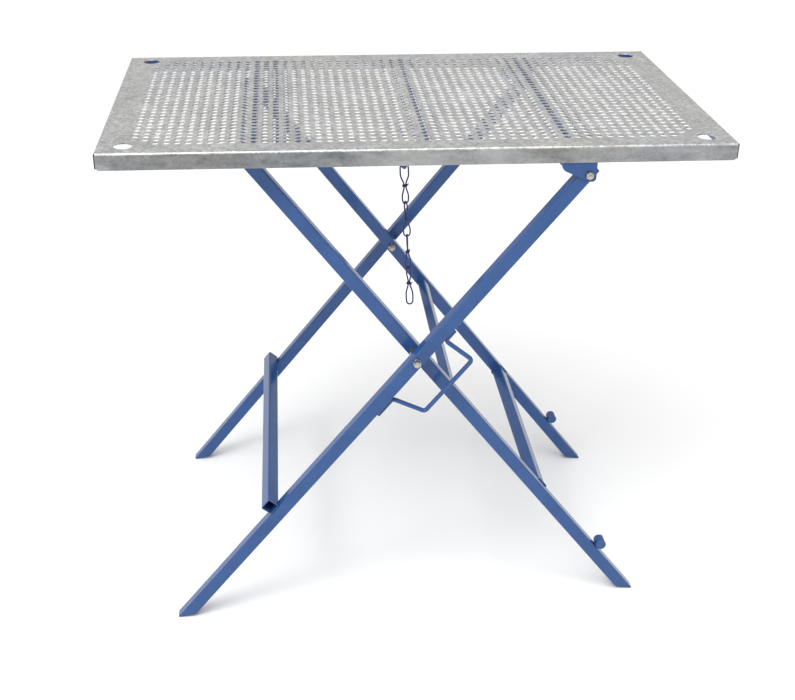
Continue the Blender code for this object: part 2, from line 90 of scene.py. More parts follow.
# ------------------------------------------------------------------ materials
class Socket:
    """An output of a material's nodes. Arithmetic on it adds Math nodes."""

    def __init__(self, tree, output=None):
        self.tree, self.output = tree, output

    def node(self, kind, settings=None, sockets=None, output=0):
        """A node of any type: its settings first, then the values or links of its sockets."""
        made = self.tree.nodes.new(kind)
        for name, value in (settings or {}).items():
            setattr(made, name, value)
        for name, value in (sockets or {}).items():
            if isinstance(value, Socket):
                self.tree.links.new(value.output, made.inputs[name])
            else:
                made.inputs[name].default_value = value
        return Socket(self.tree, made.outputs[output])

    def math(self, operation, first, second):
        """A Math node of two inputs."""
        return self.node("ShaderNodeMath", {"operation": operation}, {0: first, 1: second})

    def __add__(self, other):
        return self.math("ADD", self, other)

    def __sub__(self, other):
        return self.math("SUBTRACT", self, other)

    def __rsub__(self, other):
        return self.math("SUBTRACT", other, self)

    def __mul__(self, other):
        return self.math("MULTIPLY", self, other)

    def noise(self, scale, detail=3.0, roughness=0.55):
        """Fractal noise at this many cells a metre, from 0 to 1."""
        return self.node("ShaderNodeTexNoise", None, {
            "Vector": self, "Scale": scale, "Detail": detail, "Roughness": roughness})

    def between(self, low, high):
        """0 below low, 1 above high, a straight slope between."""
        return self.node("ShaderNodeMapRange", {"clamp": True}, {
            "Value": self, "From Min": low, "From Max": high})

    def blend(self, first, second):
        """One colour where this is 0 and the other where it is 1."""
        def four(colour):
            return colour if isinstance(colour, Socket) else (*colour, 1.0)
        return self.node("ShaderNodeMix", {"data_type": "RGBA"}, {
            0: self, 6: four(first), 7: four(second)}, output=2)

    def along(self, axis):
        """One coordinate of a place, or one channel of a colour."""
        return self.node("ShaderNodeSeparateXYZ", None, {0: self}, output=axis)

    def stretched(self, scale):
        """The same place with its axes scaled."""
        return self.node("ShaderNodeVectorMath", {"operation": "MULTIPLY"},
                         {0: self, 1: scale})

    def bump(self, strength, distance):
        """A surface normal pushed by this height."""
        return self.node("ShaderNodeBump", None, {
            "Height": self, "Strength": strength, "Distance": distance})


def finish(name, shade, **constants):
    """A shader whose constants sit on its own sockets; shade(place) gives what varies."""
    made = bpy.data.materials.new(name)
    made.use_nodes = True
    tree = made.node_tree
    shader = tree.nodes["Principled BSDF"]
    for socket, value in constants.items():
        shader.inputs[socket.replace("_", " ")].default_value = value
    place = Socket(tree).node("ShaderNodeTexCoord", output="Object")
    for socket, value in shade(place).items():
        tree.links.new(value.output, shader.inputs[socket])
    return made


def galvanised(place):
    """Zinc crystals 2 to 4 mm across, each its own grey and gloss, over cloudy dull patches.
    Below the top's bend the rim is painted darker, as painted shade, with a broad slow painted
    sheen (a painted reflection) along it over its own streaky mottle."""
    crooked = place.node("ShaderNodeVectorMath", {"operation": "MULTIPLY_ADD"}, {
        0: place.node("ShaderNodeTexNoise", None, {
            "Vector": place, "Scale": 110.0, "Detail": 2.0}, output="Color"),
        1: (0.006, 0.006, 0.006), 2: place})
    crystals = [crooked.node("ShaderNodeTexVoronoi", None, {
        "Vector": crooked, "Scale": scale}, output="Color").along(0)
        for scale in (230.0, 480.0)]
    fine = place.noise(900.0, 3.0)
    cloud = place.noise(16.0, 5.0, 0.65).between(0.30, 0.70)
    grain = crystals[0] * 0.5 + crystals[1] * 0.3 + fine * 0.2
    tone = (grain * 0.80 + cloud * 0.20).between(0.20, 0.80)
    # Below the bend the rim takes a much darker colour: painted shade.
    rim = 1.0 - place.along(2).between(RIM_BELOW, TOP_ABOVE)
    # Painted sheen: a broad, slow painted reflection that lightens the rim in wide bands.
    sheen = place.noise(5.5, 2.0).between(0.38, 0.62)
    streak = place.stretched((1.0, 1.0, 3.0)).noise(30.0, 5.0, 0.7).between(0.30, 0.72)
    warm = place.noise(5.0, 2.0).between(0.35, 0.65)
    dark = warm.blend((0.430, 0.432, 0.435), (0.450, 0.445, 0.430))
    light = warm.blend((0.790, 0.792, 0.795), (0.810, 0.805, 0.780))
    # Rim colour: painted shade at its dark end, lifted by the painted sheen and by the rim's own
    # streaks and crystal grain.
    rim_shade_sheen_and_mottle = (sheen * 0.40 + streak * 0.35 + grain * 0.25).blend(
        warm.blend((0.090, 0.105, 0.120), (0.105, 0.105, 0.098)), (0.520, 0.525, 0.530))
    return {
        "Base Color": rim.blend(tone.blend(dark, light), rim_shade_sheen_and_mottle),
        "Roughness": crystals[0] * 0.16 + cloud * 0.12 + 0.26,
        "Normal": (grain + cloud * 0.3).bump(0.20, 0.0004),
    }


def shaded_seam(place):
    """Ground weld where two sides of the rim meet, dull and uneven; its near-black colour is
    painted shade, standing in for the dark reflection along the rounded corner.
    """
    patch = place.noise(500.0, 3.0)
    return {
        # Near-black base colour: painted shade for the dark corner line.
        "Base Color": patch.blend((0.035, 0.037, 0.042), (0.110, 0.112, 0.118)),
        "Roughness": patch * 0.2 + 0.45,
    }


def enamel(deep, bright):
    """Gloss paint with a slight orange peel, a little dust and a mottled depth of colour."""
    def shade(place):
        peel = place.noise(330.0, 2.0)
        depth = place.noise(22.0, 3.0)
        specks = place.noise(1500.0, 1.0).between(0.66, 0.80)
        film = place.noise(60.0, 4.0).between(0.55, 0.90)
        colour = depth.between(0.25, 0.75).blend(deep, bright)
        dusty = (film * 0.04 + specks * 0.05).blend(colour, (0.24, 0.28, 0.36))
        return {
            "Base Color": dusty,
            "Roughness": film * 0.16 + depth * 0.08 + 0.17,
            "Normal": (peel + depth * 0.6).bump(0.11, 0.0006),
        }
    return shade


def zinc_plate(place):
    """Plating with a faint straw tint, darker in patches, with fine wrench marks."""
    scratch = place.stretched((1.0, 1.0, 14.0)).noise(700.0, 3.0)
    patch = place.noise(260.0, 3.0)
    tone = (patch * 0.7 + scratch * 0.3).between(0.25, 0.75)
    return {
        "Base Color": tone.blend((0.16, 0.15, 0.13), (0.66, 0.64, 0.57)),
        "Roughness": scratch * 0.22 + 0.16,
        "Normal": (scratch + patch).bump(0.18, 0.0002),
    }


FINISHES = {
    "galvanised_sheet": finish("galvanised_sheet", galvanised, Metallic=0.86),
    # Seam finish: its dark colour is painted shade.
    "shaded_seam": finish("shaded_seam", shaded_seam, Metallic=0.7),
    "blue_enamel": finish("blue_enamel", enamel((0.019, 0.064, 0.200), (0.026, 0.084, 0.250)),
                          Coat_Weight=0.15, Coat_Roughness=0.12, Specular_IOR_Level=0.35),
    "zinc_plated_steel": finish("zinc_plated_steel", zinc_plate, Metallic=0.92),
    "painted_chain_wire": finish("painted_chain_wire",
                                 enamel((0.010, 0.014, 0.085), (0.016, 0.022, 0.120)),
                                 Specular_IOR_Level=0.25),
}


# ----------------------------------------------------------------- mesh tools
def grid(points, wrap_rows=False, wrap_columns=False):
    """Quads between neighbours of a grid of points; a wrapped direction meets itself."""
    rows, columns = points.shape[:2]
    index = np.arange(rows * columns).reshape(rows, columns)
    if wrap_rows:
        index = np.vstack([index, index[:1]])
    if wrap_columns:
        index = np.hstack([index, index[:, :1]])
    quads = np.stack([index[:-1, :-1], index[1:, :-1], index[1:, 1:], index[:-1, 1:]], -1)
    return points.reshape(-1, 3), [quads.reshape(-1, 4)]


def capped(points):
    """Rings joined into a closed skin, with a fan of triangles over each end ring."""
    vertices, faces = grid(points, wrap_columns=True)
    rows, count = points.shape[:2]
    ring = np.arange(count)
    after = np.roll(ring, -1)
    last = (rows - 1) * count
    ends = np.full(count, rows * count)
    faces.append(np.stack([ring, after, ends], -1))
    faces.append(np.stack([after + last, ring + last, ends + 1], -1))
    return np.vstack([vertices, points[0].mean(0), points[-1].mean(0)]), faces


def plated(outer, inner):
    """Two equal grids closed into a plate: skins over both, strips along all four edges."""
    loop = np.vstack([outer, inner[::-1]])
    vertices, faces = grid(loop, wrap_rows=True)
    rows, count = outer.shape[:2]
    row = np.arange(rows - 1)
    back = 2 * rows - 1 - row
    for column, order in ((0, 1), (count - 1, -1)):
        quad = np.stack([row, row + 1, back - 1, back], -1) * count + column
        faces.append(quad[:, ::order])
    return vertices, faces


def skin_volume(vertices, faces):
    """Six times the volume a closed skin holds; negative if it is inside out."""
    total = 0.0
    for group in faces:
        a = vertices[group[:, 0]]
        for k in range(1, group.shape[1] - 1):
            total += np.einsum("ij,ij->", a, np.cross(vertices[group[:, k]],
                                                     vertices[group[:, k + 1]]))
    return total


def piece(name, body, slot, skins, replaced=(), crease=38.0, finish_name=None):
    """One mesh from closed skins turned outwards, smooth but for edges sharper than crease."""
    vertices, faces, start = [], [], 0
    for points, groups in skins:
        order = 1 if skin_volume(points - points.mean(0), groups) > 0 else -1
        for group in groups:
            faces += (group[:, ::order] + start).tolist()
        vertices.append(points)
        start += len(points)
    mesh = bpy.data.meshes.new(name)
    mesh.from_pydata(np.vstack(vertices).tolist(), [], faces)
    mesh.shade_smooth()
    mesh.set_sharp_from_angle(angle=math.radians(crease))
    mesh.materials.append(FINISHES[finish_name or slot])
    made = bpy.data.objects.new(name, mesh)
    bpy.context.scene.collection.objects.link(made)
    even = made.modifiers.new("even_normals", "WEIGHTED_NORMAL")
    even.keep_sharp = True
    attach(made, body)
    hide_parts(*replaced)
    return made


def leg_place(points, turn):
    """Leg coordinates (along, across, out of its face) to the frame: a turn at the pivot."""
    along, across, out = np.moveaxis(points, -1, 0)
    return np.stack([PIVOT[0] + along * math.cos(turn) - out * math.sin(turn), across,
                     PIVOT[2] + along * math.sin(turn) + out * math.cos(turn)], -1)


def placed(skin, turn):
    """A skin drawn in leg coordinates, moved to the frame."""
    return leg_place(skin[0], turn), skin[1]


def rounded_square(side, radius, steps=5):
    """A square with quarter circles at its corners."""
    quarter = 90.0 * np.arange(4)[:, None]
    middle = np.radians(quarter + 45.0)
    angle = np.radians(quarter + np.linspace(0.0, 90.0, steps + 1))
    inset = side / 2 - radius
    flat = [np.sign(turn(middle)) * inset + radius * turn(angle) for turn in (np.cos, np.sin)]
    return np.stack(flat, -1).reshape(-1, 2)


def square_tube(start, end, side, middle=(0.0, 0.0), slants=(0.0, 0.0), axis=0):
    """An open tube: outer sides, an eased lip at each cut end, and the bore.
    A slant moves an end along the tube in step with height across it."""
    lip, bore = 0.0003, side - 2 * TUBE_WALL
    rows = ((bore, 0.0010, start + lip, 0), (bore + 2 * lip, 0.0013, start, 0),
            (side - 2 * lip, TUBE_ROUND - lip, start, 0), (side, TUBE_ROUND, start + lip, 0),
            (side, TUBE_ROUND, end - lip, 1), (side - 2 * lip, TUBE_ROUND - lip, end, 1),
            (bore + 2 * lip, 0.0013, end, 1), (bore, 0.0010, end - lip, 1))
    rings = []
    for size, radius, at, which in rows:
        flat = rounded_square(size, radius)
        along = at + slants[which] * flat[:, 1] / side
        rings.append(np.column_stack([along, flat[:, 0] + middle[0], flat[:, 1] + middle[1]]))
    points = np.array(rings)
    if axis == 1:
        points = points[..., [1, 0, 2]]
    return grid(points, wrap_rows=True, wrap_columns=True)


def sweep(path, section, across, closed=False):
    """A section carried along a path. Its first axis points across, its second is the
    path's direction crossed with across."""
    step = (np.roll(path, -1, 0) - np.roll(path, 1, 0)) if closed else np.gradient(path, axis=0)
    step /= np.linalg.norm(step, axis=1, keepdims=True)
    normal = np.cross(step, np.broadcast_to(across, path.shape))
    normal /= np.linalg.norm(normal, axis=1, keepdims=True)
    across = np.cross(normal, step)
    section = np.broadcast_to(section, (len(path), *section.shape[-2:]))
    return (path[:, None] + section[..., :1] * across[:, None]
            + section[..., 1:] * normal[:, None])


def circle(radius, sides):
    """Points of a circle in its own plane."""
    angle = np.arange(sides) * 2 * math.pi / sides
    return radius * np.stack([np.cos(angle), np.sin(angle)], -1)


def arc(x, z, radius, start, end, steps=8):
    """Points of an arc, angles in degrees."""
    angle = np.radians(np.linspace(start, end, steps + 1))
    return np.stack([x + radius * np.cos(angle), z + radius * np.sin(angle)], -1)


def weld(start, end, radius):
    """A weld bead: a bar between two points that differ in X or Z, scalloped every 1.6 mm
    and tapered at its ends."""
    start, end = np.array(start, float), np.array(end, float)
    length = np.linalg.norm(end - start)
    count = max(12, int(length / 0.0004))
    t = np.linspace(0.0, 1.0, count)
    ripple = 1.0 + SCALLOP * np.abs(np.sin(math.pi * t * length / SCALLOP_PITCH))
    taper = np.clip(np.minimum(t, 1 - t) * length / radius, 0.06, 1.0) ** 0.5
    path = start + t[:, None] * (end - start)
    section = circle(radius, 10) * (ripple * taper)[:, None, None]
    return capped(sweep(path, section, ACROSS))


def weld_round(side, middle, at, radius=0.0015):
    """A bead that runs right round a square tube where it meets a flat face across Y."""
    corner = rounded_square(side + 0.6 * radius, TUBE_ROUND, 6)
    step = np.linalg.norm(np.roll(corner, -1, 0) - corner, axis=1)
    reach = np.concatenate([[0], np.cumsum(step)])
    loop = np.vstack([corner, corner[:1]])
    count = int(reach[-1] / 0.0005)
    t = np.linspace(0, reach[-1], count, endpoint=False)
    x, z = (np.interp(t, reach, loop[:, k]) + middle[k] for k in (0, 1))
    path = np.stack([x, np.full(count, at), z], -1)
    scallops = round(reach[-1] / 0.0018)
    ripple = 1.0 + SCALLOP * np.abs(np.sin(math.pi * t / reach[-1] * scallops))
    section = circle(radius, 8) * ripple[:, None, None]
    return grid(sweep(path, section, ACROSS, closed=True), wrap_rows=True, wrap_columns=True)


def hexagon(angle):
    """How far a hexagon's side is from its middle at each angle."""
    return HEX_FLATS / 2 / np.cos((angle + math.pi / 6) % (math.pi / 3) - math.pi / 6)


def turned(rows, sides=48):
    """Rings round the Y axis; each row is a height and a radius, fixed or by angle."""
    angle = np.arange(sides) * 2 * math.pi / sides
    rings = []
    for height, radius in rows:
        height = height(angle) if callable(height) else height
        radius = radius(angle) if callable(radius) else radius
        rings.append(np.stack([radius * np.cos(angle), height + 0 * angle,
                               radius * np.sin(angle)], -1))
    return np.array(rings)


def hex_drop(angle):
    """The 30 degree chamfer that rounds a hexagon's corners: how far below the face it cuts."""
    return (hexagon(angle) - HEX_FACE) * math.tan(math.radians(30))


def moved(points, x, y, z, side=1.0):
    """Shifted into place; side -1 turns it to face the other way along Y."""
    return points * np.array([1.0, side, 1.0]) + np.array([x, y, z])


def bolt(x, z, seat, side, end):
    """A hexagon bolt: chamfered head outside the seat, shank to the end with a cut thread."""
    head = turned([(0.0, BOLT_RADIUS), (0.0, 0.46 * HEX_FLATS), (0.0003, hexagon),
                   (lambda a: BOLT_HEAD - hex_drop(a), hexagon),
                   (BOLT_HEAD, HEX_FACE), (BOLT_HEAD, 0.30 * HEX_FLATS),
                   (BOLT_HEAD - 0.0004, 0.27 * HEX_FLATS)])
    length = abs(seat - end)
    along = np.linspace(length - THREAD_LENGTH, length - 0.0006, 84)
    depth = np.concatenate([[0.0], along, [length]])
    sides = 24
    angle = np.arange(sides) * 2 * math.pi / sides
    thread = 2 * math.pi * depth[:, None] / THREAD_PITCH - angle
    cut = THREAD_DEPTH * (0.5 - 0.5 * np.cos(thread))
    cut[0], cut[-1] = 0.0, 2 * THREAD_DEPTH
    radius = BOLT_RADIUS - cut
    shank = np.stack([radius * np.cos(angle), -depth[:, None] + 0 * angle,
                      radius * np.sin(angle)], -1)
    return [capped(moved(head, x, seat, z, side)), capped(moved(shank, x, seat, z, side))]


def nut(x, z, seat, side):
    """A hexagon nut chamfered on both faces, outwards from its seat along side."""
    rows = turned([(0.0, BORE), (0.0, HEX_FACE), (hex_drop, hexagon),
                   (lambda a: NUT_HEIGHT - hex_drop(a), hexagon),
                   (NUT_HEIGHT, HEX_FACE), (NUT_HEIGHT, BORE + 0.0004),
                   (NUT_HEIGHT - 0.0004, BORE)])
    return grid(moved(rows, x, seat, z, side), wrap_rows=True, wrap_columns=True)


def ring(x, z, low, high, radius):
    """A washer or sleeve with eased edges, between two planes across Y."""
    ease = 0.0002
    rows = turned([(low, BORE), (low, radius - ease), (low + ease, radius),
                   (high - ease, radius), (high, radius - ease), (high, BORE)])
    return grid(moved(rows, x, 0.0, z), wrap_rows=True, wrap_columns=True)


# ---------------------------------------------------------- camera and studio
camera = bpy.data.objects.new("camera", bpy.data.cameras.new("camera"))
bpy.context.scene.collection.objects.link(camera)
camera.location = (-0.1826, -1.8754, 1.3202)
camera.rotation_euler = (math.radians(62.111), 0.0, math.radians(-2.995))
camera.data.sensor_width, camera.data.lens = 36.0, 56.34
camera.data.shift_x, camera.data.shift_y = 0.0624, 0.0189
bpy.context.scene.camera = camera
bpy.context.scene.view_settings.view_transform = "Standard"


def softbox(name, place, aim, size, power, colour):
    """A square area light that faces a point."""
    lamp = bpy.data.lights.new(name, "AREA")
    lamp.shape, lamp.size, lamp.energy, lamp.color = "SQUARE", size, power, colour
    made = bpy.data.objects.new(name, lamp)
    made.location = place
    way = np.array(aim) - np.array(place)
    across = math.hypot(way[0], way[1])
    made.rotation_euler = (math.atan2(across, -way[2]), 0.0, math.atan2(-way[0], way[1]))
    bpy.context.scene.collection.objects.link(made)


def studio():
    """A pale floor, a plain pale sky, a broad soft sun and three soft boxes."""
    world = bpy.data.worlds.new("studio")
    world.use_nodes = True
    back = world.node_tree.nodes["Background"]
    back.inputs["Color"].default_value = (1.0, 1.0, 1.0, 1.0)
    back.inputs["Strength"].default_value = 0.62
    bpy.context.scene.world = world
    sun = bpy.data.objects.new("overhead", bpy.data.lights.new("overhead", "SUN"))
    sun.data.energy, sun.data.angle = 1.7, math.radians(50)
    sun.rotation_euler = (math.radians(24), math.radians(-12), 0.0)
    bpy.context.scene.collection.objects.link(sun)
    softbox("key_box", (-1.5, -1.7, 3.0), (0.0, 0.0, 0.6), 0.9, 26.0, (1.0, 1.0, 1.0))
    softbox("left_box", (-2.6, -2.4, 1.6), (0.0, 0.0, 0.5), 1.0, 14.0, (0.92, 0.96, 1.0))
    softbox("right_box", (3.0, -1.6, 1.4), (0.0, 0.0, 0.5), 1.0, 8.0, (1.0, 0.96, 0.90))
    floor_points = 14.0 * np.array([[[-1, -1, 0], [1, -1, 0]], [[-1, 1, 0], [1, 1, 0]]], float)
    vertices, faces = grid(floor_points)
    mesh = bpy.data.meshes.new("floor")
    mesh.from_pydata(vertices.tolist(), [], faces[0][:, ::-1].tolist())
    mesh.materials.append(finish("floor_paint", lambda place: {}, Roughness=0.7,
                                 Base_Color=(0.95, 0.95, 0.95, 1.0), Specular_IOR_Level=0.2))
    floor = bpy.data.objects.new("floor", mesh)
    bpy.context.scene.collection.objects.link(floor)


studio()


# ------------------------------------------------------------------- the tray
def corner_patch(x_sign, y_sign, edge_x, edge_y, xs, ys):
    """The plain corner of the sheet with its large hole. Each point of the hole joins the
    nearest point of the outline by angle, and a triangle fills in where that one changes."""
    inner_x, step_x = x_sign * xs[-2], x_sign * xs[-1]
    inner_y, step_y = y_sign * ys[-2], y_sign * ys[-1]
    edge_x, edge_y = x_sign * edge_x, y_sign * edge_y
    outline = np.array([(edge_x, edge_y), (inner_x, edge_y), (inner_x, step_y),
                        (inner_x, inner_y), (step_x, inner_y), (edge_x, inner_y)])
    middle = np.array([x_sign * CORNER_HOLE_X, y_sign * CORNER_HOLE_Y])
    hole = circle(CORNER_HOLE_RADIUS, 40)
    bearing = np.arctan2(*(outline - middle).T[::-1])
    apart = np.arctan2(hole[:, 1], hole[:, 0])[:, None] - bearing
    nearest = np.argmin(np.abs((apart + math.pi) % (2 * math.pi) - math.pi), axis=1)
    here = len(outline) + np.arange(len(hole))
    after, nearest_after = np.roll(here, -1), np.roll(nearest, -1)
    change = nearest != nearest_after
    faces = np.vstack([np.stack([nearest, here, after], -1),
                       np.stack([nearest, after, nearest_after], -1)[change]])
    return np.vstack([outline, middle + hole]), faces


def perforated_sheet():
    """The flat of the tray: a lattice of 15 mm cells, each holed cell a ring of triangles
    between its corners and a 20-sided hole, with plain strips out to the bends."""
    low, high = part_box("tray_top")
    top, edge_x, edge_y = high.z, high.x - BEND, high.y - BEND
    sides = 20
    xs = (np.arange(COLUMNS + 1) - COLUMNS / 2) * PITCH
    ys = (np.arange(ROWS + 1) - ROWS / 2) * PITCH
    lattice = np.stack(np.meshgrid(xs, ys, indexing="ij"), -1).reshape(-1, 2)
    number = np.arange(len(lattice)).reshape(COLUMNS + 1, ROWS + 1)
    column, row = np.meshgrid(np.arange(COLUMNS), np.arange(ROWS), indexing="ij")
    rank = (np.minimum(column, COLUMNS - 1 - column) + np.minimum(row, ROWS - 1 - row))
    holed = rank > 1
    corners = np.stack([number[1:, 1:], number[:-1, 1:], number[:-1, :-1], number[1:, :-1]], -1)
    cells = corners[holed]
    middles = lattice[cells].mean(1)
    holes = (middles[:, None] + circle(HOLE_RADIUS, sides)).reshape(-1, 2)
    first = len(lattice) + np.arange(len(cells))[:, None] * sides
    k = np.arange(sides)
    quarter = k // (sides // 4)
    rings = np.stack([cells[:, quarter], first + (k + 1) % sides, first + k], -1)
    spans = np.stack([cells, np.roll(cells, -1, 1),
                      first + (np.arange(4) + 1) * (sides // 4) % sides], -1)
    plain = corners[(rank == 1)]
    # strips from the lattice to the bend lines, along each side
    runs = []
    points = [lattice, holes]
    count = len(lattice) + len(holes)
    for line, axis, level in ((number[1:-1, 0], 1, -edge_y), (number[1:-1, -1], 1, edge_y),
                              (number[0, 1:-1], 0, -edge_x), (number[-1, 1:-1], 0, edge_x)):
        outer = lattice[line].copy()
        outer[:, axis] = level
        index = count + np.arange(len(line))
        runs.append(np.stack([line[:-1], line[1:], index[1:], index[:-1]], -1))
        points.append(outer)
        count += len(line)
    flat = np.vstack(points)
    tops = [rings.reshape(-1, 3), spans.reshape(-1, 3), plain, *runs]
    for x_sign in (-1, 1):
        for y_sign in (-1, 1):
            patch, faces = corner_patch(x_sign, y_sign, edge_x, edge_y, xs, ys)
            tops.append(faces + len(flat))
            flat = np.vstack([flat, patch])
    # join the patches to the strips where their points coincide
    keys = np.round(flat * 1e6).astype(np.int64)
    _, keep, same = np.unique(keys, axis=0, return_index=True, return_inverse=True)
    flat = flat[keep]
    same = same.reshape(-1)
    tops = [same[group] for group in tops]

    def upward(group):
        a, b, c = (flat[group[:, i]] for i in (0, 1, 2))
        turn = np.cross(b - a, c - a)
        return np.where((turn > 0)[:, None], group, group[:, ::-1])

    tops = [upward(group) for group in tops]
    total = len(flat)
    under = [group[:, ::-1] + total for group in tops]
    edges = np.vstack([np.stack([group, np.roll(group, -1, 1)], -1).reshape(-1, 2)
                       for group in tops])
    code = edges[:, 0] * total + edges[:, 1]
    mirror = edges[:, 1] * total + edges[:, 0]
    open_edges = edges[~np.isin(mirror, code)]
    walls = np.column_stack([open_edges[:, ::-1], open_edges + total])
    vertices = np.vstack([np.column_stack([flat, np.full(total, z)])
                          for z in (top, top - SHEET)])
    return vertices, tops + under + [walls]


def rim_side(length, reach, top, low, along_x, sign):
    """One side of the rim: over the bend, down the flange, its lower corners rounded."""
    corner, relief, steps = 0.0050, 0.0021, 9
    turn = np.linspace(0, math.pi / 2, steps)
    bend = arc(reach - BEND, top - BEND, BEND, 90, 0, 7)
    inner = arc(reach - BEND, top - BEND, BEND - SHEET, 90, 0, 7)
    drop = low + corner * (1 - np.sin(turn))
    levels = np.concatenate([np.linspace(top - BEND, low + corner, 4)[1:-1], drop])
    half = length - relief
    ends = np.full(len(bend) + len(levels), half)
    ends[-steps:] = half - corner * (1 - np.cos(turn))
    outer = np.vstack([bend, np.column_stack([np.full(len(levels), reach), levels])])
    inside = np.vstack([inner, np.column_stack([np.full(len(levels), reach - SHEET), levels])])
    share = np.linspace(-1.0, 1.0, 23)
    skins = []
    for profile in (outer, inside):
        run = ends[:, None] * share
        out = sign * np.broadcast_to(profile[:, :1], run.shape)
        height = np.broadcast_to(profile[:, 1:], run.shape)
        skins.append(np.stack([run, out, height] if along_x else [out, run, height], -1))
    return plated(*skins)


def tray():
    """The sheet with its rim folded down on four sides, and the seams at the rim's corners."""
    low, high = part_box("tray_top")
    skins = [perforated_sheet()]
    for sign in (-1, 1):
        skins.append(rim_side(high.x, high.y, high.z, low.z, True, sign))
        skins.append(rim_side(high.y, high.x, high.z, low.z, False, sign))
    piece("perforated_tray", "table", "galvanised_sheet", skins, ("tray_top",))
    radius = 0.0023
    seams = []
    for x_sign in (-1, 1):
        for y_sign in (-1, 1):
            height = np.array([low.z + 0.0022, low.z + 0.0030, high.z - 0.0020, high.z - 0.0008])
            path = np.column_stack([np.full(4, x_sign * (high.x - radius)),
                                    np.full(4, y_sign * (high.y - radius)), height])
            size = np.array([0.7, 1.0, 1.0, 0.65])[:, None, None]
            seams.append(capped(sweep(path, circle(radius, 16) * size, ACROSS)))
    # Corner seams in the seam finish whose dark colour is painted shade.
    piece("tray_corner_seams", "table", "galvanised_sheet", seams, finish_name="shaded_seam")


def under_rails():
    """The painted frame under the sheet: two long rails, six across, with their welds."""
    beads = []
    for name in ("tray_rail_front", "tray_rail_rear"):
        low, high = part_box(name)
        middle = ((low.y + high.y) / 2, (low.z + high.z) / 2)
        piece(name + "_tube", "table", "blue_enamel",
              [square_tube(low.x, high.x, RAIL, middle)], (name,))
    for name in ("tray_rail_left", "tray_rail_right", "rest_rail", "gate_rail",
                 "centre_rail", "hinge_rail"):
        low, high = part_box(name)
        middle = ((low.x + high.x) / 2, (low.z + high.z) / 2)
        piece(name + "_tube", "table", "blue_enamel",
              [square_tube(low.y, high.y, RAIL, middle, axis=1)], (name,))
        beads += [weld_round(RAIL, middle, at, 0.0012) for at in (low.y, high.y)]
    piece("tray_frame_welds", "table", "blue_enamel", beads)


def hinge_bracket(name, side):
    """A folded channel over the leg: a web with two bends and two cheeks whose lower edge
    sweeps in from the left, dips under the bolt and turns up at the heel."""
    low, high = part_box(f"hinge_bracket_{name}")
    plate, sweep_radius, heel = 0.0030, 0.0135, 0.0055
    left, right, web, bottom = low.x, high.x, high.z, low.z
    edge = np.vstack([
        arc(left + sweep_radius, web - 0.0085, sweep_radius, 180, 235, 9),
        arc(HINGE[0], bottom + heel, heel, 225, 270, 4),
        arc(right - heel, bottom + heel, heel, 270, 358, 9)])
    bend, steps = 0.0045, 6
    faces = sorted((abs(low.y), abs(high.y)))
    skins = []
    for inset in (0.0, plate):
        out, back, roof = faces[1] - inset, faces[0] + inset, web - inset
        radius = bend - inset
        profile = np.vstack([
            [[out, 0.0]], arc(out - radius, roof - radius, radius, 0, 90, steps),
            arc(back + radius, roof - radius, radius, 90, 180, steps), [[back, 0.0]]])
        y = side * np.broadcast_to(profile[:, :1], (len(profile), len(edge)))
        z = np.repeat(profile[:, 1:], len(edge), 1)
        z[0], z[-1] = edge[:, 1], edge[:, 1]
        x = np.broadcast_to(edge[:, 0], y.shape)
        skins.append(np.stack([x, y, z], -1))
    beads = [weld((left + 0.003, side * y, web + 0.0002), (right - 0.003, side * y, web + 0.0002),
                  0.0014) for y in (faces[0] + 0.0012, faces[1] - 0.0014)]
    piece(f"hinge_bracket_{name}_channel", "table", "blue_enamel", [plated(*skins)],
          (f"hinge_bracket_{name}",))
    piece(f"hinge_bracket_{name}_welds", "table", "blue_enamel", beads)


def hardware():
    """Bolts, nuts, washers and sleeves at the two pivots and the two hinges."""
    for name, side in SIDES:
        for joint, body, axis in (("pivot", "outer_frame", PIVOT), ("hinge", "table", HINGE)):
            node = f"{joint}_bolt_{name}"
            low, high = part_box(node)
            ends = sorted((low.y, high.y), key=abs)
            seat = ends[1] - side * BOLT_HEAD
            piece(f"{node}_threaded", body, "zinc_plated_steel",
                  bolt(axis[0], axis[2], seat, side, ends[0]), (node,))
            node = f"{joint}_nut_{name}"
            low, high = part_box(node)
            seat = sorted((low.y, high.y), key=abs)[1]
            piece(f"{node}_chamfered", body, "zinc_plated_steel",
                  [nut(axis[0], axis[2], seat, -side)], (node,))
        for kind in ("washer_outer", "spacer", "washer_inner"):
            node = f"pivot_{kind}_{name}"
            low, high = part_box(node)
            piece(f"{node}_eased", "outer_frame", "zinc_plated_steel",
                  [ring(PIVOT[0], PIVOT[2], low.y, high.y, (high.z - low.z) / 2)], (node,))


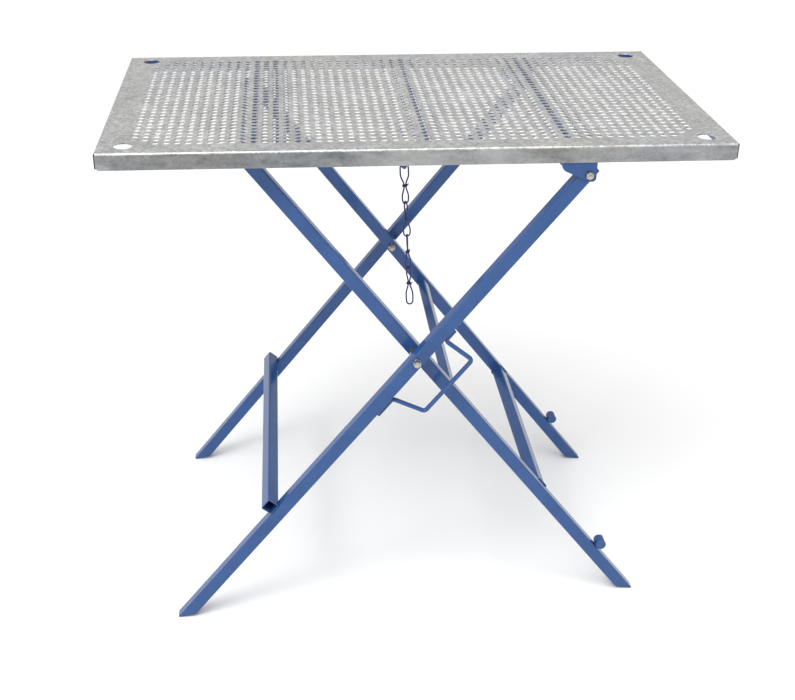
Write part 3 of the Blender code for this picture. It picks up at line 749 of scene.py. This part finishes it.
def outer_frame():
    """Outer legs, the crossbar on their upper faces, the handle under the front leg."""
    for name, _ in SIDES:
        low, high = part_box(f"outer_leg_{name}")
        middle = (low.y + high.y) / 2
        leg = square_tube(-PIVOT_TO_FOOT + FOOT_CUT / 2, PIVOT_TO_HINGE + LEG_HEAD, TUBE,
                          (middle, 0.0), slants=(-FOOT_CUT, 0.0))
        piece(f"outer_leg_{name}_tube", "outer_frame", "blue_enamel",
              [placed(leg, LEG_TURN)], (f"outer_leg_{name}",))
    low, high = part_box("outer_crossbar")
    bar = square_tube(low.y, high.y, TUBE, (-CROSSBAR_REACH, TUBE + FIT_GAP), axis=1)
    piece("outer_crossbar_tube", "outer_frame", "blue_enamel",
          [placed(bar, LEG_TURN)], ("outer_crossbar",))

    low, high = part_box("carrying_handle")
    middle, tail = (low.y + high.y) / 2, -TUBE / 2 - FIT_GAP - HANDLE_RADIUS
    slope = math.degrees(math.atan2(HANDLE_DROP + tail, HANDLE_BOTTOM - HANDLE_LOWER_FOOT))
    bend = HANDLE_BEND
    way = np.vstack([
        [[HANDLE_TAILS[0], tail], [HANDLE_TAILS[0] + 0.0008, tail]],
        arc(HANDLE_LOWER_FOOT - bend, tail - bend, bend, 90, 90 - slope),
        arc(HANDLE_BOTTOM + bend, -HANDLE_DROP + bend, bend, 270 - slope, 270),
        arc(HANDLE_TOP - bend, -HANDLE_DROP + bend, bend, -90, 0),
        arc(HANDLE_TOP + bend, tail - bend, bend, 180, 90),
        [[HANDLE_TAILS[1] - 0.0008, tail], [HANDLE_TAILS[1], tail]]])
    path = np.column_stack([way[:, 0], np.full(len(way), middle), way[:, 1]])
    size = np.ones(len(way))
    size[[0, -1]] = 0.74
    bar = sweep(path, circle(HANDLE_RADIUS, 20) * size[:, None, None], ACROSS)
    piece("carrying_handle_bar", "outer_frame", "blue_enamel",
          [placed(capped(bar), LEG_TURN)], ("carrying_handle",))
    beads = []
    for first, last in ((HANDLE_TAILS[0] + 0.002, HANDLE_LOWER_FOOT - 0.008),
                        (HANDLE_TOP + 0.010, HANDLE_TAILS[1] - 0.002)):
        for shift in (-1, 1):
            y = middle + shift * 0.0026
            beads.append(weld((first, y, -0.0107), (last, y, -0.0107), 0.0016))
    piece("outer_frame_welds", "outer_frame", "blue_enamel",
          [placed(bead, LEG_TURN) for bead in beads])


def inner_frame():
    """Inner legs, three bars between them, and the stubs near the feet."""
    for name, _ in SIDES:
        low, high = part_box(f"inner_leg_{name}")
        leg = square_tube(-PIVOT_TO_TOP_BAR - TUBE / 2, PIVOT_TO_FOOT - FOOT_CUT / 2, TUBE,
                          ((low.y + high.y) / 2, 0.0), slants=(0.0, FOOT_CUT))
        piece(f"inner_leg_{name}_tube", "inner_frame", "blue_enamel",
              [placed(leg, -LEG_TURN)], (f"inner_leg_{name}",))
        low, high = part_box(f"foot_stub_{name}")
        ease = 0.0010
        stub = turned([(low.y, STUB_RADIUS - ease), (low.y + ease, STUB_RADIUS),
                       (high.y - ease, STUB_RADIUS), (high.y, STUB_RADIUS - ease)])
        stub = moved(stub, STUB_REACH, 0.0, TUBE / 2 + FIT_GAP + STUB_RADIUS)
        piece(f"foot_stub_{name}_bar", "inner_frame", "blue_enamel",
              [placed(capped(stub), -LEG_TURN)], (f"foot_stub_{name}",))
    beads = []
    for name, size, reach in (("inner_top_bar", TUBE, -PIVOT_TO_TOP_BAR),
                              ("inner_upper_crossbar", UPPER_BAR, UPPER_BAR_REACH),
                              ("inner_lower_crossbar", TUBE, CROSSBAR_REACH)):
        low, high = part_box(name)
        bar = square_tube(low.y, high.y, size, (reach, 0.0), axis=1)
        piece(name + "_tube", "inner_frame", "blue_enamel", [placed(bar, -LEG_TURN)], (name,))
        beads += [weld_round(size, (reach, 0.0), at) for at in (low.y, high.y)]
    piece("inner_frame_welds", "inner_frame", "blue_enamel",
          [placed(bead, -LEG_TURN) for bead in beads])


def chain():
    """Links of wire with two eyes each and a knot wound round the waist."""
    half = LINK_PITCH / 2 + LINK_WIRE + FIT_GAP / 2
    for index, turns in enumerate(LINK_TURNS):
        number = index + 1
        last = number == len(LINK_TURNS)
        above = half + (END_EYE_EXTRA if index == 0 else 0.0)
        below = half + (END_EYE_EXTRA if last else 0.0)
        width = PEG_EYE_HALF_WIDTH if index == 0 else EYE_HALF_WIDTH
        rise = above - (LINK_WIRE + FIT_GAP + PEG_RADIUS if index == 0 else 0.0)
        body = f"chain_link_{number}"
        for name, node, skin in ((f"{body}_wire", body, link_wire(above, below, width, turns)),
                                 (f"chain_knot_{number}_coil", f"chain_knot_{number}",
                                  knot_coil(turns))):
            piece(name, body, "painted_chain_wire",
                  [hung(skin, rise, AXES[f"chain_hinge_{number}"])], (node,), crease=60.0)


def link_wire(above, below, top_width, turns):
    """A closed wire about its knot. Half width: the waist's, swelling by a squared sine to
    the eye's, closed at each end by a superellipse whose end radius is that half width.
    The plane turns from the upper eye's to the lower one's through the knot."""
    steps = 44
    t = np.arange(2 * steps) * math.pi / steps
    share, side = np.cos(t), np.where(t < math.pi, 1.0, -1.0)
    length = np.where(share > 0, above, below)
    width = np.where(share > 0, top_width, EYE_HALF_WIDTH)
    end = np.sqrt(np.maximum(0.0, 1 - np.abs(share) ** (2 * length / width)))
    swell = np.sin(np.minimum(1.0, np.abs(share) * length / SWELL_LENGTH) * math.pi / 2) ** 2
    reach = side * end * (WAIST_HALF_WIDTH + (width - WAIST_HALF_WIDTH) * swell)
    height = share * length
    upper, lower = np.radians(turns)
    mix = 0.5 - 0.5 * np.clip(2 * height / KNOT_HEIGHT, -1.0, 1.0)
    turn = upper + (lower - upper) * mix
    path = np.stack([reach * np.cos(turn), reach * np.sin(turn), height], -1)
    face = np.stack([-np.sin(turn), np.cos(turn), 0 * turn], -1)
    return grid(sweep(path, circle(LINK_WIRE, 12), face, closed=True),
                wrap_rows=True, wrap_columns=True)


def knot_coil(turns):
    """A wire wound twice round the waist, its tail standing off at the end."""
    wire, winds = 0.00095, 2.0
    t = np.linspace(0.0, 1.0, 96)
    angle = winds * 2 * math.pi * t
    tail = np.clip((t - 0.90) / 0.10, 0.0, 1.0) ** 2
    wide = (WAIST_HALF_WIDTH + LINK_WIRE + wire * 0.75) * (1 + 0.9 * tail)
    deep = (LINK_WIRE + wire * 1.1) * (1 + 0.75 * tail)
    turn = math.radians(sum(turns) / 2)
    x, y = wide * np.cos(angle), deep * np.sin(angle)
    path = np.stack([x * math.cos(turn) - y * math.sin(turn),
                     x * math.sin(turn) + y * math.cos(turn),
                     (t - 0.5) * (KNOT_HEIGHT - 2 * wire)], -1)
    taper = np.clip(np.minimum(t, 1 - t) * 60, 0.5, 1.0)[:, None, None]
    return capped(sweep(path, circle(wire, 10) * taper, UPWARDS))


def hung(skin, rise, axis):
    """A piece drawn about its knot, let down below its axis on the chain's lean."""
    points = skin[0] - np.array([0.0, 0.0, rise])
    x, y, z = points.T
    lean = math.atan2(AXES["chain_hinge_4"][0] - AXES["chain_hinge_1"][0],
                      AXES["chain_hinge_1"][2] - AXES["chain_hinge_4"][2])
    return np.stack([x * math.cos(lean) - z * math.sin(lean), y,
                     x * math.sin(lean) + z * math.cos(lean)], -1) + axis, skin[1]


tray()
under_rails()
for end_name, end_side in SIDES:
    hinge_bracket(end_name, end_side)
hardware()
outer_frame()
inner_frame()
chain()

for shown in ("chain_tab", "chain_peg"):
    frame["nodes"][shown].data.materials.clear()
    frame["nodes"][shown].data.materials.append(FINISHES["blue_enamel"])
